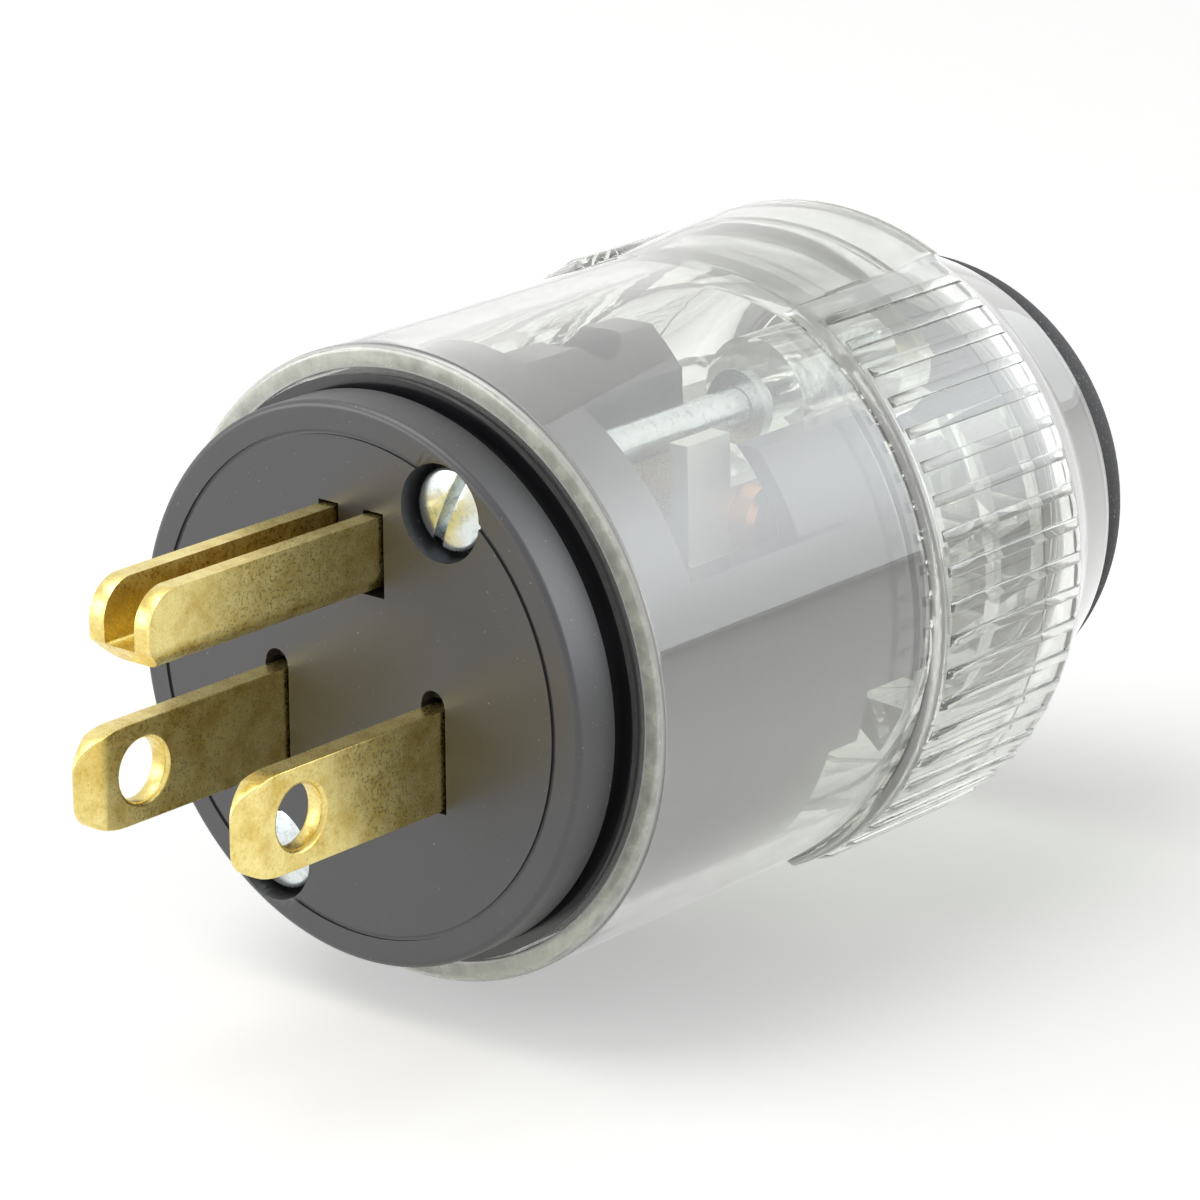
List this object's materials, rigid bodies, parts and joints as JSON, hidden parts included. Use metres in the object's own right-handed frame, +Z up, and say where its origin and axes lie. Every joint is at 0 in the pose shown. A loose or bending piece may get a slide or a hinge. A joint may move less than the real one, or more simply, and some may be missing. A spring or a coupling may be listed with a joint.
{
  "type": "type b plug",
  "caption": "Grounded type B cord plug: flat brass blades and a folded ground pin in a black face, a clear housing with ribbed grip pads, inner cord jaws and a rubber cord seal.",
  "frame": {"origin": "centre of the plug's flat face", "axes": "-Y out of the face along the blades, +Y back along the housing to the cord, +X to the right seen from the front, +Z up towards the ground pin"},
  "size_m": [0.042, 0.0811, 0.0424],
  "materials": {
    "black_nylon": "satin moulded nylon",
    "clear_plastic": "clear polished polycarbonate",
    "blade_brass": "rolled brass with fine mill marks",
    "screw_brass": "turned brass",
    "plated_steel": "bright zinc plate",
    "green_screw": "green dyed zinc plate",
    "black_rubber": "matt moulded rubber"
  },
  "bodies": {
    "root": {"front_face": "black_nylon", "contact_carrier": "black_nylon", "clear_housing": "clear_plastic", "left_cord_jaw": "clear_plastic", "right_cord_jaw": "clear_plastic", "line_blade": "blade_brass", "neutral_blade": "blade_brass", "ground_pin": "blade_brass", "line_clamp": "plated_steel", "neutral_clamp": "plated_steel", "ground_clamp": "plated_steel", "line_terminal_screw": "screw_brass", "neutral_terminal_screw": "plated_steel", "ground_terminal_screw": "green_screw", "assembly_screws": "plated_steel", "screw_keepers": "plated_steel", "cord_seal": "black_rubber"}
  },
  "joints": []
}
